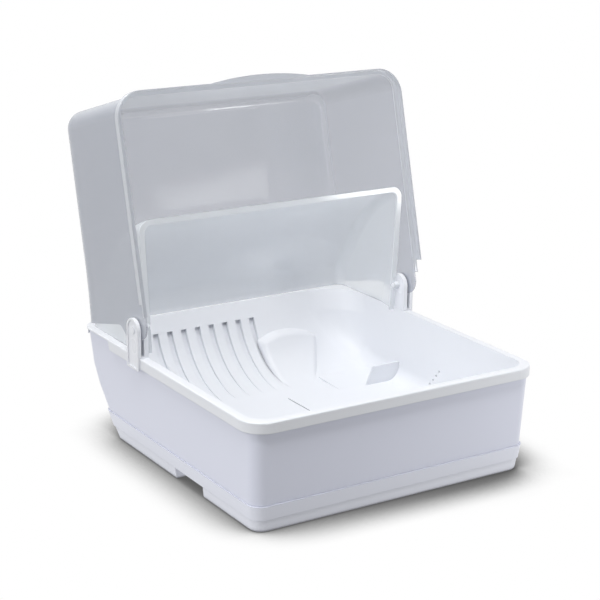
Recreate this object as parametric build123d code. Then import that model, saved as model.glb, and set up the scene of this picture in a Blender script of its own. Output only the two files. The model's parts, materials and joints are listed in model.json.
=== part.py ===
from build123d import *
import os
from math import cos, pi, radians, sin, sqrt, tan

# Covered dish rack, in millimetres. Each piece is first built with X across the rack, Y from the
# front face of the rim to the back, and Z up from the table. At the end everything is moved along Y
# so that the origin lies on the table under the middle of the whole rack as it stands, cover open.

# Overall sizes
rim_width = 450.0
rim_depth = 489.0
rim_top = 151.0
rim_corner = 33.0
overrun = 20.0
half_width = rim_width / 2

# Base bin: a tub on two wide feet, with a shallow belt round it
base_wall = 2.3
base_corner = 18.0
base_top_setback = 6.5
base_belt_setback = 11.0
base_belt_proud = 1.8
belt_top = 36.7
belt_bottom = 17.5
belt_low_setback = 11.2
foot_top_setback = 12.4
foot_low_setback = 14.2
foot_round = 4.5
front_foot_length = 132.8
foot_gap = 75.0
# Back wall of the base: how far in from the rim's back each bend lies, from the foot to the rim
back_heel_setback = 85.0
back_foot_setback = 70.5
back_belt_setback = 58.0
back_knee_setback = 30.5
back_hip_setback = 15.5
back_top_setback = 5.5
# Heights of the two bends between the belt and the rim, as shares of that height
knee_share = 0.29
hip_share = 0.532

# Drainer tray: rim, sloping plate rack and floor
tray_wall = 2.2
rim_thickness = 2.5
rim_skirt = 14.4
rim_edge_round = 1.8
land_width = 12.3
back_land = 27.4
tray_depth = 105.0
tray_draft = 4.2
tray_corner = 26.0
tray_hollow_round = 22.0
slope_radius = 120.0
slope_angle = 68.0
tray_gap = 0.3

# Plate slots in the slope, counted from the rim's left edge
slot_count = 8
slot_pitch = 23.2
slot_margin = 104.0
slot_width = 9.0
slot_depth = 6.0
slot_drop = 25.0

# Raised apron at the right of the slots: a hollow-curved front with a crowned ledge on top
apron_radius = 92.0
apron_setback = 3.0
apron_sink = 0.5
apron_height = 57.0
apron_width = 102.0
apron_crown_gap = 34.0
apron_left_drop = 9.0
apron_right_drop = 13.0
apron_foot_width = 50.5
apron_splay = 29.0
apron_round = 9.0
apron_reach_angle = 72.0
apron_cut_angle = 22.0
# Floor plate at the right of the apron: it rises towards its back edge
plate_gap = 62.0
plate_rise = 3.0
plate_back = 20.0
plate_length = 60.0
# Wide corners between the slope and the side walls: narrow near the floor, wide at the rim
corner_radius = 65.0
corner_low_radius = 25.0
corner_start_angle = 21.0
corner_steps = 5
# Low divider and a slit in the floor
divider_gap = 42.0
divider_height = 27.0
divider_thickness = 3.0
divider_length = 46.0
divider_lean = 12.0
slit_width = 2.0
slit_length = 76.0
slit_gap = 31.0
# Small drain holes low in the right wall, in a row that climbs towards the front
drain_count = 4
drain_pitch = 6.0
drain_climb = 8.0
drain_radius = 1.5
drain_rise = 15.5
drain_gap = 121.0

# Hinge: brackets on the rim, pins through them
hinge_setback = 176.0
hinge_rise = 37.0
bracket_length = 33.0
bracket_foot = 2.3
bracket_width = 16.0
bracket_proud = 3.0
bracket_drop = 3.5
bracket_rim_gap = 0.3
bracket_field_depth = 1.6
bracket_border = 3.0
arm_gap = 0.4
arm_lean_room = 0.8
pin_radius = 3.5
pin_fit = 0.05
pin_bore_fit = 0.08
pin_inner_reach = 9.5
pin_head_radius = 5.6
pin_head_length = 1.4
pin_tip_round = 0.8

# Front cover, described closed: it lies on the rim and is swung open about the pins
cover_wall = 2.2
cover_side_setback = 4.7
cover_front_setback = 3.7
cover_draft = 1.4
cover_corner = 24.0
cover_edge_round = 20.0
cover_front_rise = 197.0
cover_middle_rise = 2.0
cover_back_rise = 8.0
cover_middle_reach = 98.0
cover_rim_gap = 0.3
flange_thickness = 2.4
flange_gap = 1.8
skirt_thickness = 2.2
skirt_drop = 7.5
skirt_end_gap = 17.5
ledge_proud = 0.4
arm_back_reach = 14.0
arm_round = 22.0
arm_shoulder_rise = 50.0
arm_shoulder_round = 14.0
open_angle = 104.4
handle_half = 82.0
handle_reach = 7.5
handle_thickness = 2.6

# Rear cover: a quarter-round hood fixed over the back of the tray
hood_wall = 2.2
hood_side_setback = 10.4
hood_front_gap = 0.5
hood_rise = 187.0
hood_bead_width = 8.0
hood_bead_thickness = 3.4
hood_edge_round = 17.0
hood_neck_setback = 18.8
hood_neck_spread = 0.2
hood_neck_rise = 0.0509
hood_back_setback = 21.0
hood_flange = 8.0
hood_flange_corner = 24.0
hood_flange_thickness = 2.0
hood_crown_slope = 0.32
hood_boss_radius = 5.6
hood_boss_gap = 0.3
hood_boss_length = 8.3
# Side line of the hood: how far back and how high its bends lie, as shares of its depth and height
hood_shoulder_share = (0.338, 0.872)
hood_haunch_share = (0.692, 0.578)
hood_hip_share = (0.923, 0.273)

# Places that follow from the sizes
base_top = rim_top - rim_thickness - tray_gap
tray_floor = rim_top - tray_depth
slot_top = rim_top - slot_drop
slot_first = slot_margin - half_width
slot_last = slot_first + slot_pitch * (slot_count - 1)
hinge_place = rim_depth - hinge_setback
hinge_height = rim_top + hinge_rise
bracket_outer_face = half_width + bracket_proud
bracket_inner_face = bracket_outer_face - bracket_width
cover_low = rim_top + cover_rim_gap
cover_inner_half = half_width - cover_side_setback
cover_front_height = rim_top + cover_front_rise
cover_middle_height = cover_front_height + cover_middle_rise
cover_back_height = cover_middle_height + cover_back_rise
cover_middle_place = hinge_place - cover_middle_reach
ledge_end = hinge_place - bracket_length / 2 - arm_gap
skirt_end = ledge_end - skirt_end_gap
arm_inner = cover_inner_half - (hinge_height - cover_low) * tan(radians(cover_draft))
arm_outer = arm_inner + cover_wall
arm_back = hinge_place + arm_back_reach
arm_shoulder_height = hinge_height + arm_shoulder_rise
hood_half = half_width - hood_side_setback
hood_front = hinge_place - hood_front_gap
hood_back = rim_depth - hood_back_setback
hood_top = rim_top + hood_rise
hood_neck_half = half_width - hood_neck_setback


def rounded_outline(height, half, front, back, front_radius, back_radius):
    """Rectangle with rounded corners seen from above, lying at the given height."""
    face = make_face(Polyline((-half, front), (half, front), (half, back), (-half, back), close=True))
    face = fillet(face.vertices().sort_by(Axis.Y)[:2], front_radius)
    if back_radius > 0:
        face = fillet(face.vertices().sort_by(Axis.Y)[-2:], back_radius)
    return Pos(0, 0, height) * face


def at_side(place):
    """Plane across the rack at a place along X, for drawing (y, z) outlines."""
    return Plane(origin=(place, 0, 0), x_dir=(0, 1, 0), z_dir=(1, 0, 0))


def side_plate(points_face, half):
    """Solid as wide as the rack whose section across X is the given face, drawn as (y, z)."""
    return extrude(at_side(-half) * points_face, 2 * half)


def box_between(low, high):
    """Box from one corner to the opposite one."""
    size = [b - a for a, b in zip(low, high)]
    centre = [(a + b) / 2 for a, b in zip(low, high)]
    return Pos(*centre) * Box(*size)


def base_level(height, setback, back, inset=0.0):
    """Outline of the base at one height, moved inwards by the inset."""
    gap = setback + inset
    radius = max(base_corner - inset, base_wall)
    return rounded_outline(height, half_width - gap, gap, back - inset, radius, radius)


def upper_levels(inset=0.0, rise=0.0):
    """Outlines of the upper wall, which leans out evenly from the belt to the top edge."""
    bends = [
        (0, back_belt_setback),
        (knee_share, back_knee_setback),
        (hip_share, back_hip_setback),
        (1, back_top_setback),
    ]
    levels = []
    for share, back_setback in bends:
        height = belt_top + (base_top - belt_top) * share
        setback = base_belt_setback + (base_top_setback - base_belt_setback) * share
        levels.append(base_level(height, setback, rim_depth - back_setback, inset))
    if rise > 0:
        levels.append(base_level(base_top + rise, base_top_setback, rim_depth - back_top_setback, inset))
    return levels


def make_base():
    """Tub with a belt, two wide feet and the gap between them."""
    heel = rim_depth - back_heel_setback
    ankle = rim_depth - back_foot_setback
    waist = rim_depth - back_belt_setback
    belt = [
        base_level(belt_bottom, belt_low_setback, ankle + base_belt_proud),
        base_level(belt_top, base_belt_setback - base_belt_proud, waist + base_belt_proud),
    ]
    feet = [base_level(0, foot_low_setback, heel), base_level(belt_bottom, foot_top_setback, ankle)]
    gap_front = foot_low_setback + front_foot_length
    gap_back = gap_front + foot_gap
    outer = loft(upper_levels(), ruled=True) + loft(belt, ruled=True) + loft(feet, ruled=True)
    outer -= box_between((-half_width, gap_front, -overrun), (half_width, gap_back, belt_bottom))
    soles = outer.faces().filter_by(Axis.Z).group_by(Axis.Z)[0]
    outer = fillet(soles.edges(), foot_round)
    inner_feet = [
        base_level(base_wall, foot_low_setback, heel, base_wall),
        base_level(belt_top, base_belt_setback, waist, base_wall),
    ]
    inner = loft(inner_feet, ruled=True) + loft(upper_levels(base_wall, overrun), ruled=True)
    inner -= box_between(
        (-half_width, gap_front - base_wall, -overrun),
        (half_width, gap_back + base_wall, belt_bottom + base_wall),
    )
    return outer - inner


def slope_centre():
    """Middle of the curved part of the plate slope, as (y, z)."""
    end_height = tray_floor + slope_radius * (1 - cos(radians(slope_angle)))
    end_place = rim_depth - back_land - (rim_top - end_height) / tan(radians(slope_angle))
    return end_place - slope_radius * sin(radians(slope_angle)), tray_floor + slope_radius


def tray_half(height):
    """Half the width of the tray's hollow at a height."""
    return half_width - land_width - (rim_top - height) * tan(radians(tray_draft))


def tray_front(height):
    """Place of the hollow's front wall at a height."""
    return land_width + (rim_top - height) * tan(radians(tray_draft))


def slope_section(grow):
    """Side view of the hollow: floor, curved slope, straight slope and the open top."""
    place, height = slope_centre()
    radius = slope_radius + grow
    turn = radians(slope_angle)
    end = (place + radius * sin(turn), height - radius * cos(turn))
    rise = rim_top + overrun - end[1]
    top = (end[0] + rise / tan(turn), rim_top + overrun)
    start = (-overrun, tray_floor - grow)
    lines = Polyline((place, tray_floor - grow), start, (-overrun, rim_top + overrun), top, end)
    middle = (place + radius * sin(turn / 2), height - radius * cos(turn / 2))
    return make_face([lines, ThreePointArc(end, middle, (place, tray_floor - grow))])


def hollow(grow):
    """The tray's hollow with its walls moved outwards, open at the top."""
    levels = [
        rounded_outline(
            z,
            tray_half(z) + grow,
            tray_front(z) - grow,
            rim_depth + overrun,
            tray_corner + grow,
            0,
        )
        for z in (tray_floor - grow, rim_top + overrun)
    ]
    body = loft(levels, ruled=True) & side_plate(slope_section(grow), rim_width)
    low = [e for e in body.edges() if is_hollow_edge(e, grow)]
    return fillet(low, tray_hollow_round + grow)


def below(height):
    """Everything under a height, as wide and deep as the rack."""
    return box_between((-rim_width, -overrun, -overrun), (rim_width, rim_depth + overrun, height))


def is_hollow_edge(edge, grow):
    """True for the edges along the floor and the slope, which are rounded in the hollow."""
    box = edge.bounding_box()
    across = box.max.X - box.min.X > half_width
    upright = box.max.Z - box.min.Z > (rim_top - tray_floor) / 2
    back = box.max.Y > hinge_place
    on_floor = box.max.Z < tray_floor - grow + overrun / 4
    if on_floor:
        return not (across and back)
    return upright and back and not across


def make_rim():
    """Flat land round the hollow and the skirt that hangs from its edge."""
    top = rounded_outline(rim_top - rim_skirt, half_width, 0, rim_depth, rim_corner, rim_corner)
    block = extrude(top, rim_skirt)
    block = fillet(block.faces().sort_by(Axis.Z)[-1].outer_wire().edges(), rim_edge_round)
    inside = rounded_outline(
        rim_top - rim_skirt - overrun,
        half_width - rim_thickness,
        rim_thickness,
        rim_depth - rim_thickness,
        rim_corner - rim_thickness,
        rim_corner - rim_thickness,
    )
    return block - extrude(inside, rim_skirt + overrun - rim_thickness)


def slot_disc(left, width, depth, grow):
    """Slice of a cylinder that reaches past the slope at the top and fades out at the floor."""
    place, height = slope_centre()
    disc = at_side(left) * Pos(place + depth, height) * Circle(slope_radius + grow)
    slice_ = extrude(disc, width)
    limit = box_between(
        (left - overrun, place, 0), (left + width + overrun, rim_depth + overrun, slot_top + grow)
    )
    return slice_ & limit


def slot_places():
    """Left side of each plate slot."""
    return [slot_first + slot_pitch * i - slot_width / 2 for i in range(slot_count)]


def slot_backs():
    """Thin walls behind the plate slots."""
    return [
        slot_disc(left - tray_wall, slot_width + 2 * tray_wall, slot_depth, tray_wall)
        for left in slot_places()
    ]


def slots():
    """Room of the plate slots."""
    return [slot_disc(left, slot_width, slot_depth, 0) for left in slot_places()]


def slope_place(height):
    """Place along Y of the plate slope at a height."""
    place, centre = slope_centre()
    turn = radians(slope_angle)
    end_height = centre - slope_radius * cos(turn)
    if height < end_height:
        return place + sqrt(slope_radius**2 - (centre - height) ** 2)
    return place + slope_radius * sin(turn) + (height - end_height) / tan(turn)


def corner_face(height, grow, edge):
    """Corner between the slope and the right wall at a height, outside its rounding."""
    centre = slope_centre()[1]
    low = centre - slope_radius * cos(radians(corner_start_angle))
    high = centre - slope_radius * cos(radians(slope_angle))
    share = min(1, (height - low) / (high - low))
    round_ = corner_low_radius + (corner_radius - corner_low_radius) * share
    x, y = tray_half(height) - round_, slope_place(height) - round_
    reach = round_ + grow
    bend = ThreePointArc((x, y + reach), (x + reach * sin(pi / 4), y + reach * cos(pi / 4)), (x + reach, y))
    far = reach + edge
    rest = Polyline((x + reach, y), (x + far, y), (x + far, y + far), (x, y + far), (x, y + reach))
    return Pos(0, 0, height) * make_face([bend, rest])


def corner_body(grow, edge, top):
    """Filling of the rear right corner: it follows the curved slope, then the straight one."""
    centre = slope_centre()[1]
    step = (slope_angle - corner_start_angle) / corner_steps
    angles = [corner_start_angle + step * i for i in range(corner_steps + 1)]
    heights = [centre - slope_radius * cos(radians(angle)) for angle in angles]
    curved = loft([corner_face(z, grow, edge) for z in heights])
    straight = loft([corner_face(z, grow, edge) for z in (heights[-1], top)], ruled=True)
    return curved + straight


def apron_side(shrink, start_angle):
    """Side view of the apron: its hollow-curved front and everything behind and below it."""
    radius = apron_radius + shrink
    y = slope_centre()[0] - apron_setback
    z = tray_floor - apron_sink + apron_radius
    turns = [radians(a) for a in (start_angle, (start_angle + apron_reach_angle) / 2, apron_reach_angle)]
    start, middle, end = [(y + radius * sin(a), z - radius * cos(a)) for a in turns]
    low = tray_floor - overrun
    rest = Polyline(end, (rim_depth, end[1]), (rim_depth, low), (start[0], low), start)
    return make_face([ThreePointArc(start, middle, end), rest])


def apron_front(shrink):
    """Front view of the apron: a straight left side and a crowned top."""
    left = slot_last + shrink
    right = slot_last + apron_width
    top = tray_floor + apron_height - shrink
    low = tray_floor - overrun
    crown = ThreePointArc(
        (left, top - apron_left_drop), (left + apron_crown_gap, top), (right, top - apron_right_drop)
    )
    rest = Polyline((right, top - apron_right_drop), (right, low), (left, low), (left, top - apron_left_drop))
    return make_face([crown, rest])


def apron_plan(shrink):
    """Apron seen from above: its right side splays outwards towards the back."""
    place = slope_centre()[0]
    left = slot_last - overrun
    spread = tan(radians(apron_splay))
    foot = slot_last + apron_foot_width - shrink / cos(radians(apron_splay))
    front, back = place - overrun, rim_depth
    ends = [(foot + (y - place) * spread, y) for y in (front, back)]
    return make_face(Polyline((left, front), ends[0], ends[1], (left, back), close=True))


def apron(shrink, start_angle):
    """Raised apron with its faces moved inwards by shrink."""
    facing = Plane(origin=(0, 0, 0), x_dir=(1, 0, 0), z_dir=(0, -1, 0))
    body = extrude(at_side(slot_last - overrun) * apron_side(shrink, start_angle), apron_width + 2 * overrun)
    body = body & extrude(facing * apron_front(shrink), rim_depth * 2, both=True)
    body = body & extrude(apron_plan(shrink), rim_top)
    return fillet([e for e in body.edges() if is_apron_edge(e)], apron_round - shrink)


def is_apron_edge(edge):
    """True for the apron's edges above the floor, apart from those behind the slope."""
    box = edge.bounding_box()
    upright = box.max.Z - box.min.Z > tray_wall or box.min.Z > tray_floor + apron_height / 2
    above_floor = box.min.Z > tray_floor - tray_wall and box.max.Z > tray_floor + tray_wall
    return upright and above_floor and box.min.Y < rim_depth - back_land


def floor_plate():
    """Plate on the floor that rises towards its crisp back edge."""
    back = slope_centre()[0] + plate_back
    front = back - plate_length
    low = tray_floor - tray_wall / 2
    corners = [(front, low), (front, tray_floor), (back, tray_floor + plate_rise), (back, low)]
    start = slot_last + plate_gap
    return extrude(at_side(start) * make_face(Polyline(*corners, close=True)), half_width - start)


def divider():
    """Low divider that runs in from the right wall, with a leaning free end."""
    wall = tray_half(tray_floor)
    top = tray_floor + divider_height
    end = wall - divider_length
    corners = [(end - divider_lean, tray_floor - tray_wall / 2), (end, top), (half_width, top)]
    corners += [(half_width, tray_floor - tray_wall / 2)]
    back = slope_centre()[0] - divider_gap + divider_thickness
    facing = Plane(origin=(0, back, 0), x_dir=(1, 0, 0), z_dir=(0, -1, 0))
    return extrude(facing * make_face(Polyline(*corners, close=True)), divider_thickness)


def wall_drains():
    """Row of small holes low in the right wall."""
    start = slope_centre()[0] - drain_gap
    low = tray_floor + drain_rise
    across = at_side(tray_half(low) - overrun / 2)
    places = [Pos(start - drain_pitch * i, low + drain_climb * i) for i in range(drain_count)]
    return [extrude(across * place * Circle(drain_radius), overrun) for place in places]


def floor_slit():
    """Narrow slit in the floor in front of the last whole plate slot."""
    middle = slot_last - slot_pitch
    end = slope_centre()[0] - slit_gap
    return box_between(
        (middle - slit_width / 2, end - slit_length, tray_floor - overrun),
        (middle + slit_width / 2, end, tray_floor + overrun),
    )


def make_tray():
    """Drainer tray: rim, walls, slope with plate slots, apron, wide corners and holes."""
    room = hollow(0)
    shell = (hollow(tray_wall) & below(rim_top - rim_edge_round)) + make_rim()
    for back in slot_backs():
        shell += back
    shell -= room
    for cut in slots():
        shell -= cut
    corner = corner_body(0, tray_wall / 2, rim_top)
    shell += corner + mirrored(corner)
    under = corner_body(tray_wall, overrun, rim_top - rim_thickness)
    shell = shell - under - mirrored(under)
    front = (apron(0, 0) & hollow(tray_wall / 2)) + (floor_plate() & hollow(tray_wall / 2))
    shell += front + (divider() & hollow(tray_wall / 2))
    shell -= apron(tray_wall, apron_cut_angle)
    for cut in wall_drains():
        shell -= cut
    return shell - floor_slit()


def bracket_profile(half_length, low, top_radius):
    """Side view of a bracket plate: straight sides and a round top about the hinge axis."""
    base = Pos(hinge_place, (low + hinge_height) / 2) * Rectangle(2 * half_length, hinge_height - low)
    return base + Pos(hinge_place, hinge_height) * Circle(top_radius)


def slab(face, start, end):
    """Plate between two places along X whose outline is the given (y, z) face."""
    return extrude(at_side(start) * face, end - start)


def make_bracket():
    """Right-hand bracket: inner plate and outer plate with the arm's slot between them."""
    reach = bracket_length / 2
    low = rim_top - rim_skirt - bracket_drop
    body = slab(bracket_profile(reach, rim_top, reach), bracket_inner_face, bracket_outer_face)
    lip = Pos(hinge_place, (low + rim_top) / 2) * Rectangle(bracket_length, rim_top - low)
    body += slab(lip, half_width + bracket_rim_gap, bracket_outer_face)
    field = reach - bracket_border
    recess = bracket_profile(field, low + bracket_border, field)
    body -= slab(recess, bracket_outer_face - bracket_field_depth, bracket_outer_face + overrun)
    slot_foot = rim_top + bracket_foot
    slot = Pos(hinge_place, slot_foot + overrun * 2) * Rectangle(bracket_length * 2, overrun * 4)
    body -= slab(slot, arm_inner - arm_gap - arm_lean_room, arm_outer + arm_gap + arm_lean_room)
    bore = Pos(hinge_place, hinge_height) * Circle(pin_radius + pin_fit)
    return body - slab(bore, bracket_inner_face - overrun, bracket_outer_face + overrun)


def make_pin():
    """Right-hand hinge pin with a low head on the outside."""
    centre = Pos(hinge_place, hinge_height)
    field_face = bracket_outer_face - bracket_field_depth
    shaft = slab(centre * Circle(pin_radius), bracket_inner_face - pin_inner_reach, field_face)
    shaft = fillet(shaft.edges().sort_by(Axis.X)[0], pin_tip_round)
    return shaft + slab(centre * Circle(pin_head_radius), field_face, field_face + pin_head_length)


def mirrored(solid):
    """The same piece for the left-hand side."""
    return mirror(solid, Plane.YZ)


def cover_section(grow):
    """Side view of the closed front cover: floor on the rim, leaning front and curved top."""
    low = cover_low
    drop = cover_wall - grow
    back = hinge_place + overrun * 3
    rise_share = (back - cover_middle_place) / (cover_back_place() - cover_middle_place)
    extra = (cover_back_height - cover_middle_height) * rise_share**2
    front_face = -overrun
    middle = (cover_middle_place, cover_middle_height - drop)
    far = (back, cover_middle_height + extra - drop)
    half_far = (back + cover_middle_place) / 2
    bow = (half_far, cover_middle_height + extra / 4 - drop)
    flat = Polyline(
        middle, (front_face, cover_front_height - drop), (front_face, low - overrun), (back, low - overrun), far
    )
    return make_face([flat, ThreePointArc(far, bow, middle)])


def cover_back_place():
    """Place of the closed cover's back edge: opened, it comes down to the rim's top."""
    turn = radians(open_angle)
    reach = cover_back_height - hinge_height
    drop = hinge_height - cover_low
    return hinge_place + (drop + reach * cos(turn)) / sin(turn)


def cover_body(grow):
    """Closed front cover as a full solid whose faces are moved outwards by grow."""
    low = cover_low
    levels = []
    for z in (low - overrun, cover_back_height + overrun):
        lean = (z - low) * tan(radians(cover_draft))
        levels.append(
            rounded_outline(
                z,
                cover_inner_half + grow - lean,
                cover_front_setback - grow + lean,
                hinge_place + overrun * 2,
                cover_corner + grow,
                0,
            )
        )
    body = loft(levels, ruled=True) & side_plate(cover_section(grow), rim_width)
    edges = [e for e in body.edges() if is_cover_top_edge(e)]
    return fillet(edges, cover_edge_round + grow - cover_wall)


def is_cover_top_edge(edge):
    """True for the edges between the top and the walls of the cover."""
    box = edge.bounding_box()
    high = box.min.Z > cover_front_height - overrun
    crosswise_back = box.min.Y > hinge_place and box.max.X - box.min.X > half_width
    return high and not crosswise_back


def arm_outline():
    """Side view of what the cover's walls keep: main panel and the arms at the hinge."""
    low = cover_low
    back = cover_back_place()
    top = cover_back_height + overrun
    panel = make_face(
        Polyline(
            (-overrun, low),
            (ledge_end, low),
            (ledge_end, low + flange_thickness),
            (arm_back, low + flange_thickness),
            (arm_back, arm_shoulder_height - (arm_back - back)),
            (back, arm_shoulder_height),
            (back, top),
            (-overrun, top),
            close=True,
        )
    )
    vertices = panel.vertices()
    heel = vertices.sort_by_distance((arm_back, low + flange_thickness, 0))[0]
    panel = fillet(heel, arm_round)
    knee = panel.vertices().sort_by_distance((arm_back, arm_shoulder_height - (arm_back - back), 0))[0]
    panel = fillet(knee, arm_shoulder_round)
    hip = panel.vertices().sort_by_distance((back, arm_shoulder_height, 0))[0]
    return fillet(hip, arm_shoulder_round)


def flange_outline(height, grow, end):
    """Outline round the rim as far back as end."""
    face = rounded_outline(
        height, half_width + grow, -grow, rim_depth, rim_corner + grow, 0
    )
    limit = Pos(0, (end - overrun * 2) / 2, height) * Rectangle(rim_width * 2, end + overrun * 2)
    return face & limit


def make_front_cover():
    """Front cover, closed: thin hood with a flange, a skirt, arms and a handle lip."""
    low = cover_low
    walls = (cover_body(cover_wall) - cover_body(0)) & side_plate(arm_outline(), rim_width)
    outer = flange_gap + skirt_thickness
    flange = extrude(flange_outline(low, outer, skirt_end), flange_thickness)
    skirt = extrude(flange_outline(low - skirt_drop, outer, skirt_end), skirt_drop)
    skirt -= extrude(
        flange_outline(low - skirt_drop - overrun, flange_gap, skirt_end + overrun), skirt_drop + overrun
    )
    reach = half_width + ledge_proud
    ledge = box_between((-reach, skirt_end - overrun, low), (reach, ledge_end, low + flange_thickness))
    band = (flange + skirt + ledge + handle_lip(low, outer)) - cover_body(0)
    cover = walls + band
    bore = Pos(hinge_place, hinge_height) * Circle(pin_radius + pin_bore_fit)
    return cover - slab(bore, -rim_width, rim_width)


def handle_lip(low, outer):
    """Crescent that stands out from the middle of the front flange."""
    front = -outer
    ends = handle_half
    arc = ThreePointArc((-ends, front), (0, front - handle_reach), (ends, front))
    back = cover_front_setback
    rest = Polyline((ends, front), (ends, back), (-ends, back), (-ends, front))
    return Pos(0, 0, low) * extrude(make_face([arc, rest]), handle_thickness)


def open_cover(solid):
    """Swing the closed cover back about the hinge axis."""
    axis = Axis((0, hinge_place, hinge_height), (1, 0, 0))
    return solid.rotate(axis, -open_angle)


def hood_section(inset):
    """Side view of the hood: its quarter-round back from the crown down to the foot."""
    start = (hood_front - overrun, hood_top - inset + hood_crown_slope * overrun)
    crown = (hood_front, hood_top - inset)
    bends = []
    for depth_share, height_share in (hood_shoulder_share, hood_haunch_share, hood_hip_share):
        place = hood_front + (hood_back - hood_front) * depth_share
        bends.append((place - inset, rim_top + hood_rise * height_share - inset))
    foot = (hood_back - inset, rim_top)
    under = (hood_back - inset, rim_top - overrun)
    ways = [(1, -hood_crown_slope), (0, -1)]
    back = Spline(start, crown, *bends, foot, tangents=ways)
    rest = Polyline(foot, under, (hood_front - overrun, rim_top - overrun), start)
    return make_face([back, rest])


def neck_cutter(side, inset):
    """Half-space that trims the hood beside the hinge brackets."""
    size = rim_width
    normal = Vector(side, -hood_neck_spread, -hood_neck_rise).normalized()
    point = Vector(side * (hood_neck_half - inset), hood_front, rim_top)
    plane = Plane(origin=point, z_dir=normal)
    return extrude(plane * Rectangle(size * 2, size * 2), size)


def hood_body(inset):
    """Rear cover as a full solid whose faces are moved inwards by the inset."""
    body = side_plate(hood_section(inset), hood_half - inset)
    edges = [e for e in body.edges() if is_hood_edge(e, inset)]
    body = fillet(edges, hood_edge_round - inset)
    for side in (-1, 1):
        body -= neck_cutter(side, inset)
    return body


def is_hood_edge(edge, inset):
    """True for the long edges between the hood's back and its sides, down to the foot."""
    box = edge.bounding_box()
    lengthwise = box.max.X - box.min.X < half_width
    return lengthwise and box.max.Y > hood_back - inset - overrun / 4


def make_rear_cover():
    """Rear cover: thin hood with a bead round its front and a flange on the rim."""
    shell = hood_body(0) - hood_body(hood_wall)
    bead = hood_body(0) - hood_body(hood_bead_width)
    bead = bead & box_between(
        (-rim_width, hood_front, rim_top), (rim_width, hood_front + hood_bead_thickness, hood_top + overrun)
    )
    above = box_between((-rim_width, hood_front, rim_top), (rim_width, rim_depth, hood_top + overrun))
    flange = rounded_outline(
        rim_top,
        hood_half,
        hood_front + (hood_back - hood_front) * hood_shoulder_share[0],
        hood_back + hood_flange,
        rim_edge_round,
        hood_flange_corner,
    )
    flange = extrude(flange, hood_flange_thickness) - hood_body(hood_wall)
    cover = (shell & above) + bead + flange
    centre = Pos(hinge_place, hinge_height)
    end = bracket_inner_face - hood_boss_gap
    boss = slab(centre * Circle(hood_boss_radius), end - hood_boss_length, end)
    cover += boss + mirrored(boss)
    return cover - slab(centre * Circle(pin_radius + pin_fit), -rim_width, rim_width)


def write(parts):
    """Write each piece to its own file, moved so that the origin is under the middle."""
    boxes = [solid.bounding_box() for solid in parts.values()]
    shift = -(min(box.min.Y for box in boxes) + max(box.max.Y for box in boxes)) / 2
    os.makedirs("parts", exist_ok=True)
    for name, solid in parts.items():
        export_step(Pos(0, shift, 0) * solid, f"parts/{name}.step")
    print("moved along Y by", round(shift, 3))
    print("hinge axis at y", round(hinge_place + shift, 3), "z", hinge_height)


def main():
    bracket = make_bracket()
    pin = make_pin()
    write(
        {
            "base_bin": make_base(),
            "drainer_tray": make_tray(),
            "right_hinge_bracket": bracket,
            "left_hinge_bracket": mirrored(bracket),
            "right_hinge_pin": pin,
            "left_hinge_pin": mirrored(pin),
            "rear_cover": make_rear_cover(),
            "front_cover": open_cover(make_front_cover()),
        }
    )


main()
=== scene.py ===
import json
from math import cos, radians, sin

import bpy
from mathutils import Matrix, Vector


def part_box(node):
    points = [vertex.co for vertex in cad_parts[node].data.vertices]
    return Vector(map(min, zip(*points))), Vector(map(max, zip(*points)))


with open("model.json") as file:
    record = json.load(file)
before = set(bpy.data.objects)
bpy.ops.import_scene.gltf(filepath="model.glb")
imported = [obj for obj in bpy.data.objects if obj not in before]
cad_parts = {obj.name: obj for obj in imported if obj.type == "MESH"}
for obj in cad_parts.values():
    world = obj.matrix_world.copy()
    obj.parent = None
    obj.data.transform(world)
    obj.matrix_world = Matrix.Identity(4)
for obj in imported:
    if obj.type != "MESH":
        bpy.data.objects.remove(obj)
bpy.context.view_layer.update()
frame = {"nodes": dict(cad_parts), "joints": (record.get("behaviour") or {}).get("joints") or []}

nodes = frame["nodes"]

# Places on the rack, in metres, and the turn that closes the front cover
rim_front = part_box("drainer_tray")[0].y
pin_low, pin_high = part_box("left_hinge_pin")
hinge_y = (pin_low.y + pin_high.y) / 2
hinge_z = (pin_low.z + pin_high.z) / 2
cover_hinge = next(joint for joint in frame["joints"] if joint["name"] == "cover_hinge")
closing_turn = radians(cover_hinge["range_deg"][1])
closed_flange_drop = 0.0338
bead_behind_hinge = 0.0032

# Heights, in metres, up to which the bin's belt and feet are painted lighter: painted light, as
# from the bright floor below
belt_painted_light_top = 0.0362
feet_painted_light_top = 0.0172

plain_white = (1, 1, 1, 1)


class Value:
    """A socket in a finish's nodes that can be used in sums."""

    def __init__(self, finish, socket):
        self.finish = finish
        self.socket = socket

    def combine(self, operation, first, second, clamp=False):
        settings = {"operation": operation, "use_clamp": clamp}
        return self.finish.node("Math", settings, {0: first, 1: second})

    def __add__(self, other):
        return self.combine("ADD", self, other)

    def __radd__(self, other):
        return self.combine("ADD", other, self)

    def __sub__(self, other):
        return self.combine("SUBTRACT", self, other)

    def __rsub__(self, other):
        return self.combine("SUBTRACT", other, self)

    def __mul__(self, other):
        return self.combine("MULTIPLY", self, other)

    def __rmul__(self, other):
        return self.combine("MULTIPLY", other, self)

    def __truediv__(self, other):
        return self.combine("DIVIDE", self, other)

    def __pow__(self, other):
        return self.combine("POWER", self, other)

    def clamped(self):
        """The same value, kept between 0 and 1."""
        return self.combine("ADD", self, 0.0, clamp=True)


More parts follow.
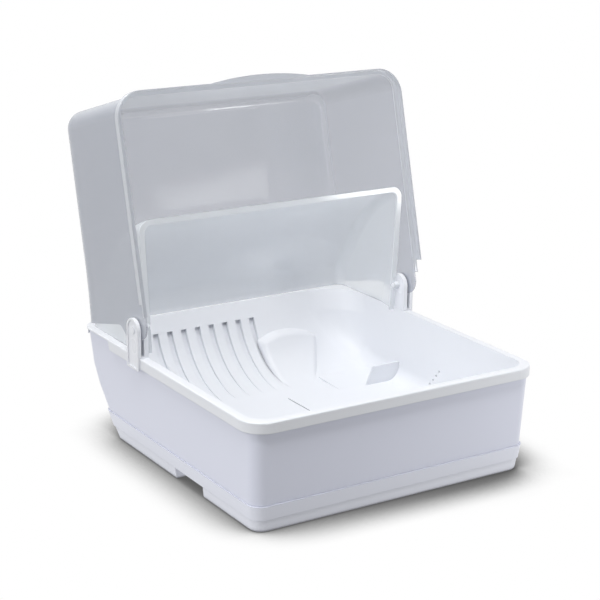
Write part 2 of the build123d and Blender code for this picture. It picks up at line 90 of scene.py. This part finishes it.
class Finish:
    """Nodes of a material or of the studio's background."""

    def __init__(self, owner):
        self.owner = owner
        owner.use_nodes = True
        self.tree = owner.node_tree
        self.tree.nodes.clear()

    def node(self, kind, settings=None, inputs=None, output=0):
        """Adds a node, sets it, then gives its sockets their values or links."""
        made = self.tree.nodes.new("ShaderNode" + kind)
        for name, value in (settings or {}).items():
            if name == "stops":
                self.set_stops(made.color_ramp, value)
            else:
                setattr(made, name, value)
        for name, value in (inputs or {}).items():
            if isinstance(value, Value):
                self.tree.links.new(value.socket, made.inputs[name])
            else:
                made.inputs[name].default_value = value
        return Value(self, made.outputs[output]) if made.outputs else None

    def set_stops(self, ramp, stops):
        """Gives a ramp its stops, each of which is a place from 0 to 1 and a colour."""
        while len(ramp.elements) < len(stops):
            ramp.elements.new(1.0)
        for element, (place, colour) in zip(ramp.elements, stops):
            element.position = place
            element.color = colour

    def part(self, vector, axis):
        """What a vector has along one axis."""
        return self.node("SeparateXYZ", inputs={"Vector": vector}, output=axis)

    def place(self):
        """Where the surface lies in the frame, in metres."""
        return self.node("TexCoord", output="Object")

    def along(self, axis):
        """Where the surface lies along one axis, in metres."""
        return self.part(self.place(), axis)

    def noise(self, cells, detail, stretch=(1.0, 1.0, 1.0)):
        """Noise between 0 and 1, with so many cells a metre."""
        where = self.node("Mapping", inputs={"Vector": self.place(), "Scale": stretch})
        return self.node("TexNoise", inputs={"Vector": where, "Scale": cells, "Detail": detail})

    def mix(self, share, first, second):
        """The first colour, changing to the second as the share goes from 0 to 1."""
        # Sockets 6 and 7 take the node's two colours, and output 2 gives the mixed one
        inputs = {"Factor": share, 6: first, 7: second}
        return self.node("Mix", {"data_type": "RGBA"}, inputs, output=2)

    def bump(self, height, strength, distance, edge_radius):
        """Relief from a height, on a surface whose sharp edges look rounded."""
        rounded = self.node("Bevel", {"samples": 6}, {"Radius": edge_radius})
        relief = {"Height": height, "Strength": strength, "Distance": distance}
        return self.node("Bump", inputs={**relief, "Normal": rounded})

    def closeness(self, samples, reach):
        """0 in the open, towards 1 where surfaces within the reach close in."""
        inputs = {"Distance": reach}
        return 1.0 - self.node("AmbientOcclusion", {"samples": samples}, inputs, output="AO")

    def turned_away(self, blend):
        """0 where the surface faces the viewer, towards 1 where it turns away."""
        return self.node("LayerWeight", inputs={"Blend": blend}, output="Facing")

    def light_path(self, *kinds):
        """1 where a ray is of one of the kinds, otherwise 0."""
        return sum(self.node("LightPath", output=kind) for kind in kinds).clamped()

    def mix_shaders(self, share, first, second):
        """The first shader, changing to the second as the share goes from 0 to 1."""
        return self.node("MixShader", inputs={0: share, 1: first, 2: second})

    def surface(self, shader):
        """Makes the shader the material's surface and returns the material."""
        self.node("OutputMaterial", inputs={"Surface": shader})
        return self.owner


def moulded_white(name, light, shade, roughness, crevice_shade_strength, bands=()):
    """Moulded white plastic: faint clouds, fine grain, soft gloss and painted shade in its
    crevices.

    The crevice shade strength says how strongly painted shade darkens crevices. A band is a
    height, and the tone of all below it.
    """
    painted_shade_colour = (0.42, 0.43, 0.49, 1)
    crevice_shade_reach = 0.010
    band_fade = 0.0005
    roughness_spread = 0.04
    finish = Finish(bpy.data.materials.new(name))
    cloud = finish.noise(cells=6.0, detail=2.0)
    grain = finish.noise(cells=1400.0, detail=1.0)
    upward = finish.part(finish.node("NewGeometry", output="Normal"), "Z").clamped()
    # Painted shade: the colour darkens in crevices, less on faces that look up
    closeness = finish.closeness(samples=8, reach=crevice_shade_reach)
    painted_crevice_shade = (closeness**2.0 * crevice_shade_strength * (1.0 - upward)).clamped()
    colour = finish.mix(cloud, shade, light)
    # Below each band's height a lighter tone is painted; the bin's bands are painted light
    for band_top, tone in bands:
        below = ((band_top - finish.along("Z")) / band_fade).clamped()
        colour = finish.mix(below, colour, tone)
    plastic = finish.node(
        "BsdfPrincipled",
        inputs={
            "Base Color": finish.mix(painted_crevice_shade, colour, painted_shade_colour),
            "Roughness": roughness + roughness_spread * (cloud - 0.5),
            "Normal": finish.bump(grain, strength=0.04, distance=0.0002, edge_radius=0.0007),
            "IOR": 1.49,
        },
    )
    return finish.surface(plastic)


def front_rim(finish):
    """1 on the open front cover's flange and skirt, which lie lowest when it is closed."""
    fade = 0.0006
    depth, height = finish.along("Y") - hinge_y, finish.along("Z") - hinge_z
    closed_height = depth * sin(closing_turn) + height * cos(closing_turn)
    return ((-closed_flange_drop - closed_height) / fade).clamped()


def rear_rim(finish):
    """1 on the bead round the rear cover's front."""
    fade = 0.0006
    return ((hinge_y + bead_behind_hinge - finish.along("Y")) / fade).clamped()


def milky_cover(name, face_colour, painted_highlight_colour, body, find_rim):
    """Milky clear plastic: denser on its rim and where it turns away, where a painted highlight
    also lightens its colour.

    Body says how dense its faces are, from 0 to 1.
    """
    edge_density, rim_density, cloud_density = 0.3, 0.25, 0.10
    rim_painted_highlight = 0.4
    light_passed = 0.92
    face_shine, rim_shine, glancing_shine = 0.035, 0.04, 0.5
    finish = Finish(bpy.data.materials.new(name))
    rim = find_rim(finish)
    cloud = finish.noise(cells=4.0, detail=2.0)
    ripple = finish.noise(cells=11.0, detail=1.0, stretch=(1.0, 0.5, 1.0))
    normal = finish.bump(ripple, strength=0.05, distance=0.003, edge_radius=0.0016)
    edge = finish.turned_away(blend=0.4) ** 2.0
    glancing = finish.turned_away(blend=0.5) ** 5.0
    # Light on its way to a surface meets little of the haze and none of the gloss
    unseen = finish.light_path("Is Shadow Ray", "Is Diffuse Ray")
    density = body + edge_density * edge + rim_density * rim + cloud_density * (cloud - 0.5)
    # Painted highlight: the colour turns lighter where the cover turns away and on its rim
    painted_highlight_share = (edge + rim_painted_highlight * rim).clamped()
    haze = finish.node(
        "BsdfPrincipled",
        inputs={
            "Base Color": finish.mix(painted_highlight_share, face_colour, painted_highlight_colour),
            "Roughness": 0.5,
            "Specular IOR Level": 0.0,
            "Alpha": (density * (1.0 - light_passed * unseen)).clamped(),
            "Normal": normal,
        },
    )
    gloss = finish.node(
        "BsdfGlossy", inputs={"Color": plain_white, "Roughness": 0.10, "Normal": normal}
    )
    shine = (face_shine + rim_shine * rim + glancing_shine * glancing) * (1.0 - unseen)
    return finish.surface(finish.mix_shaders(shine, haze, gloss))


def floor_finish():
    """Pale floor that the camera sees as white, darker close to what stands on it."""
    shadow_reach = 0.10
    shadow_strength, shadow_change = 1.06, 1.1
    glow_level, glow_change = 0.68, 0.5
    greys = ((0.30, 0.11), (0.50, 0.20), (0.62, 0.42), (0.76, 0.80), (0.87, 1.0))
    finish = Finish(bpy.data.materials.new("pale_floor"))
    # Metres to the right of the middle, never more than half a metre either way
    across = (finish.along("X") + 0.5).clamped() - 0.5
    shadow = finish.closeness(samples=16, reach=shadow_reach)
    openness = 1.0 - shadow * (shadow_strength + shadow_change * across)
    stops = [(place, (grey, grey, grey, 1)) for place, grey in greys]
    lit = finish.node("ValToRGB", {"stops": stops}, {"Fac": openness})
    seen = finish.node("Emission", inputs={"Color": lit})
    glow = finish.node("Emission", inputs={"Color": glow_level + glow_change * across})
    direct = finish.light_path("Is Camera Ray", "Is Glossy Ray", "Is Transmission Ray")
    return finish.surface(finish.mix_shaders(direct, glow, seen))


def paint(material, *names):
    """Gives CAD nodes their finish."""
    for name in names:
        materials = nodes[name].data.materials
        materials.clear()
        materials.append(material)


def paint_bin():
    white = moulded_white(
        "white_bin",
        light=(0.785, 0.808, 0.92, 1),
        shade=(0.755, 0.778, 0.895, 1),
        roughness=0.30,
        crevice_shade_strength=2.4,
        # Painted light: the belt and feet are painted lighter, as lit from the bright floor below
        bands=(
            (belt_painted_light_top, (0.85, 0.872, 0.965, 1)),
            (feet_painted_light_top, (0.88, 0.902, 0.985, 1)),
        ),
    )
    paint(white, "base_bin")


def paint_tray():
    white = moulded_white(
        "white_tray",
        light=(0.82, 0.84, 0.88, 1),
        shade=(0.79, 0.81, 0.855, 1),
        roughness=0.36,
        crevice_shade_strength=0.4,
    )
    paint(white, "drainer_tray")


def paint_hinges():
    white = moulded_white(
        "white_ear",
        light=(0.86, 0.88, 0.92, 1),
        shade=(0.83, 0.85, 0.90, 1),
        roughness=0.28,
        crevice_shade_strength=0.3,
    )
    paint(white, "left_hinge_bracket", "right_hinge_bracket", "left_hinge_pin", "right_hinge_pin")


def paint_covers():
    # The front cover is the same milky plastic as the rear one; its far darker face colour is
    # painted shade
    front = milky_cover(
        "milky_front",
        face_colour=(0.31, 0.333, 0.40, 1),
        painted_highlight_colour=(0.80, 0.83, 0.87, 1),
        body=0.46,
        find_rim=front_rim,
    )
    rear = milky_cover(
        "milky_rear",
        face_colour=(0.70, 0.735, 0.775, 1),
        painted_highlight_colour=(0.84, 0.87, 0.91, 1),
        body=0.42,
        find_rim=rear_rim,
    )
    paint(front, "front_cover")
    paint(rear, "rear_cover")


def make_floor():
    reach = 6.0
    corners = [(-reach, -reach, 0), (reach, -reach, 0), (reach, reach, 0), (-reach, reach, 0)]
    mesh = bpy.data.meshes.new("floor")
    mesh.from_pydata(corners, [], [(0, 1, 2, 3)])
    floor = bpy.data.objects.new("floor", mesh)
    bpy.context.collection.objects.link(floor)
    floor.data.materials.append(floor_finish())


def make_world():
    """White to the camera; its light is brightest from above and falls off towards the front."""
    all_round, from_above, from_behind = 0.20, 0.32, 0.40
    world = bpy.data.worlds.new("studio")
    bpy.context.scene.world = world
    studio = Finish(world)
    direction = studio.node("TexCoord", output="Generated")
    height, depth = studio.part(direction, "Z"), studio.part(direction, "Y")
    level = (all_round + from_above * height + from_behind * depth).clamped()
    light = studio.node("Background", inputs={"Color": level})
    seen = studio.node("Background", inputs={"Color": plain_white})
    both = studio.mix_shaders(studio.light_path("Is Camera Ray"), light, seen)
    studio.node("OutputWorld", inputs={"Surface": both})


def make_lamp(name, place, target, size, watts):
    lamp = bpy.data.lights.new(name, "AREA")
    lamp.shape = "RECTANGLE"
    lamp.size, lamp.size_y = size
    lamp.energy = watts
    holder = bpy.data.objects.new(name, lamp)
    holder.location = place
    aim = Vector(target) - Vector(place)
    holder.rotation_euler = aim.to_track_quat("-Z", "Y").to_euler()
    bpy.context.collection.objects.link(holder)


def make_lamps():
    """Soft studio light, most of it from overhead and from the left.

    Each lamp has its place, the point that it is aimed at, its width and height, and its watts.
    """
    lamps = {
        "overhead": ((-0.2, -0.3, 2.0), (0, 0.05, 0.1), (1.6, 1.2), 19),
        "left_panel": ((-2.2, -0.3, 1.1), (0, 0, 0.2), (1.6, 1.6), 16),
        "left_low": ((-1.3, -0.2, 0.15), (-0.2, -0.05, 0.08), (0.4, 0.2), 0.9),
        "right_fill": ((0.62, -0.62, 0.22), (0.15, -0.25, 0.08), (0.2, 0.2), 1.0),
        "right_panel": ((0.72, -0.95, 0.575), (0.1, 0.2, 0.2), (0.34, 0.09), 0.24),
        "strip": ((-0.5, -0.9, 1.9), (0, 0.1, 0.4), (1.4, 0.12), 11),
    }
    for name, (place, target, size, watts) in lamps.items():
        make_lamp(name, place, target, size, watts)


def make_camera():
    """Camera at the photograph's viewing angle."""
    yaw, pitch, roll = radians(32.452), radians(16.686), radians(-0.623)
    to_the_left, before_the_rim, above_the_floor = 1.18889, 1.62016, 0.87658
    ahead = Vector((sin(yaw) * cos(pitch), cos(yaw) * cos(pitch), -sin(pitch)))
    level = Vector((cos(yaw), -sin(yaw), 0))
    down = ahead.cross(level)
    right = level * cos(roll) + down * sin(roll)
    up = level * sin(roll) - down * cos(roll)
    turn = Matrix((right, up, -ahead)).transposed().to_4x4()
    place = Vector((-to_the_left, rim_front - before_the_rim, above_the_floor))
    camera = bpy.data.objects.new("camera", bpy.data.cameras.new("camera"))
    camera.data.sensor_width = 36.0
    camera.data.lens = 100.15
    camera.matrix_world = Matrix.Translation(place) @ turn
    bpy.context.collection.objects.link(camera)
    bpy.context.scene.camera = camera


make_camera()
make_world()
make_lamps()
make_floor()
paint_bin()
paint_tray()
paint_hinges()
paint_covers()
bpy.context.scene.view_settings.view_transform = "Standard"
# A ray can cross more of the covers' clear walls than Blender's default lets it
bpy.context.scene.cycles.transparent_max_bounces = 24
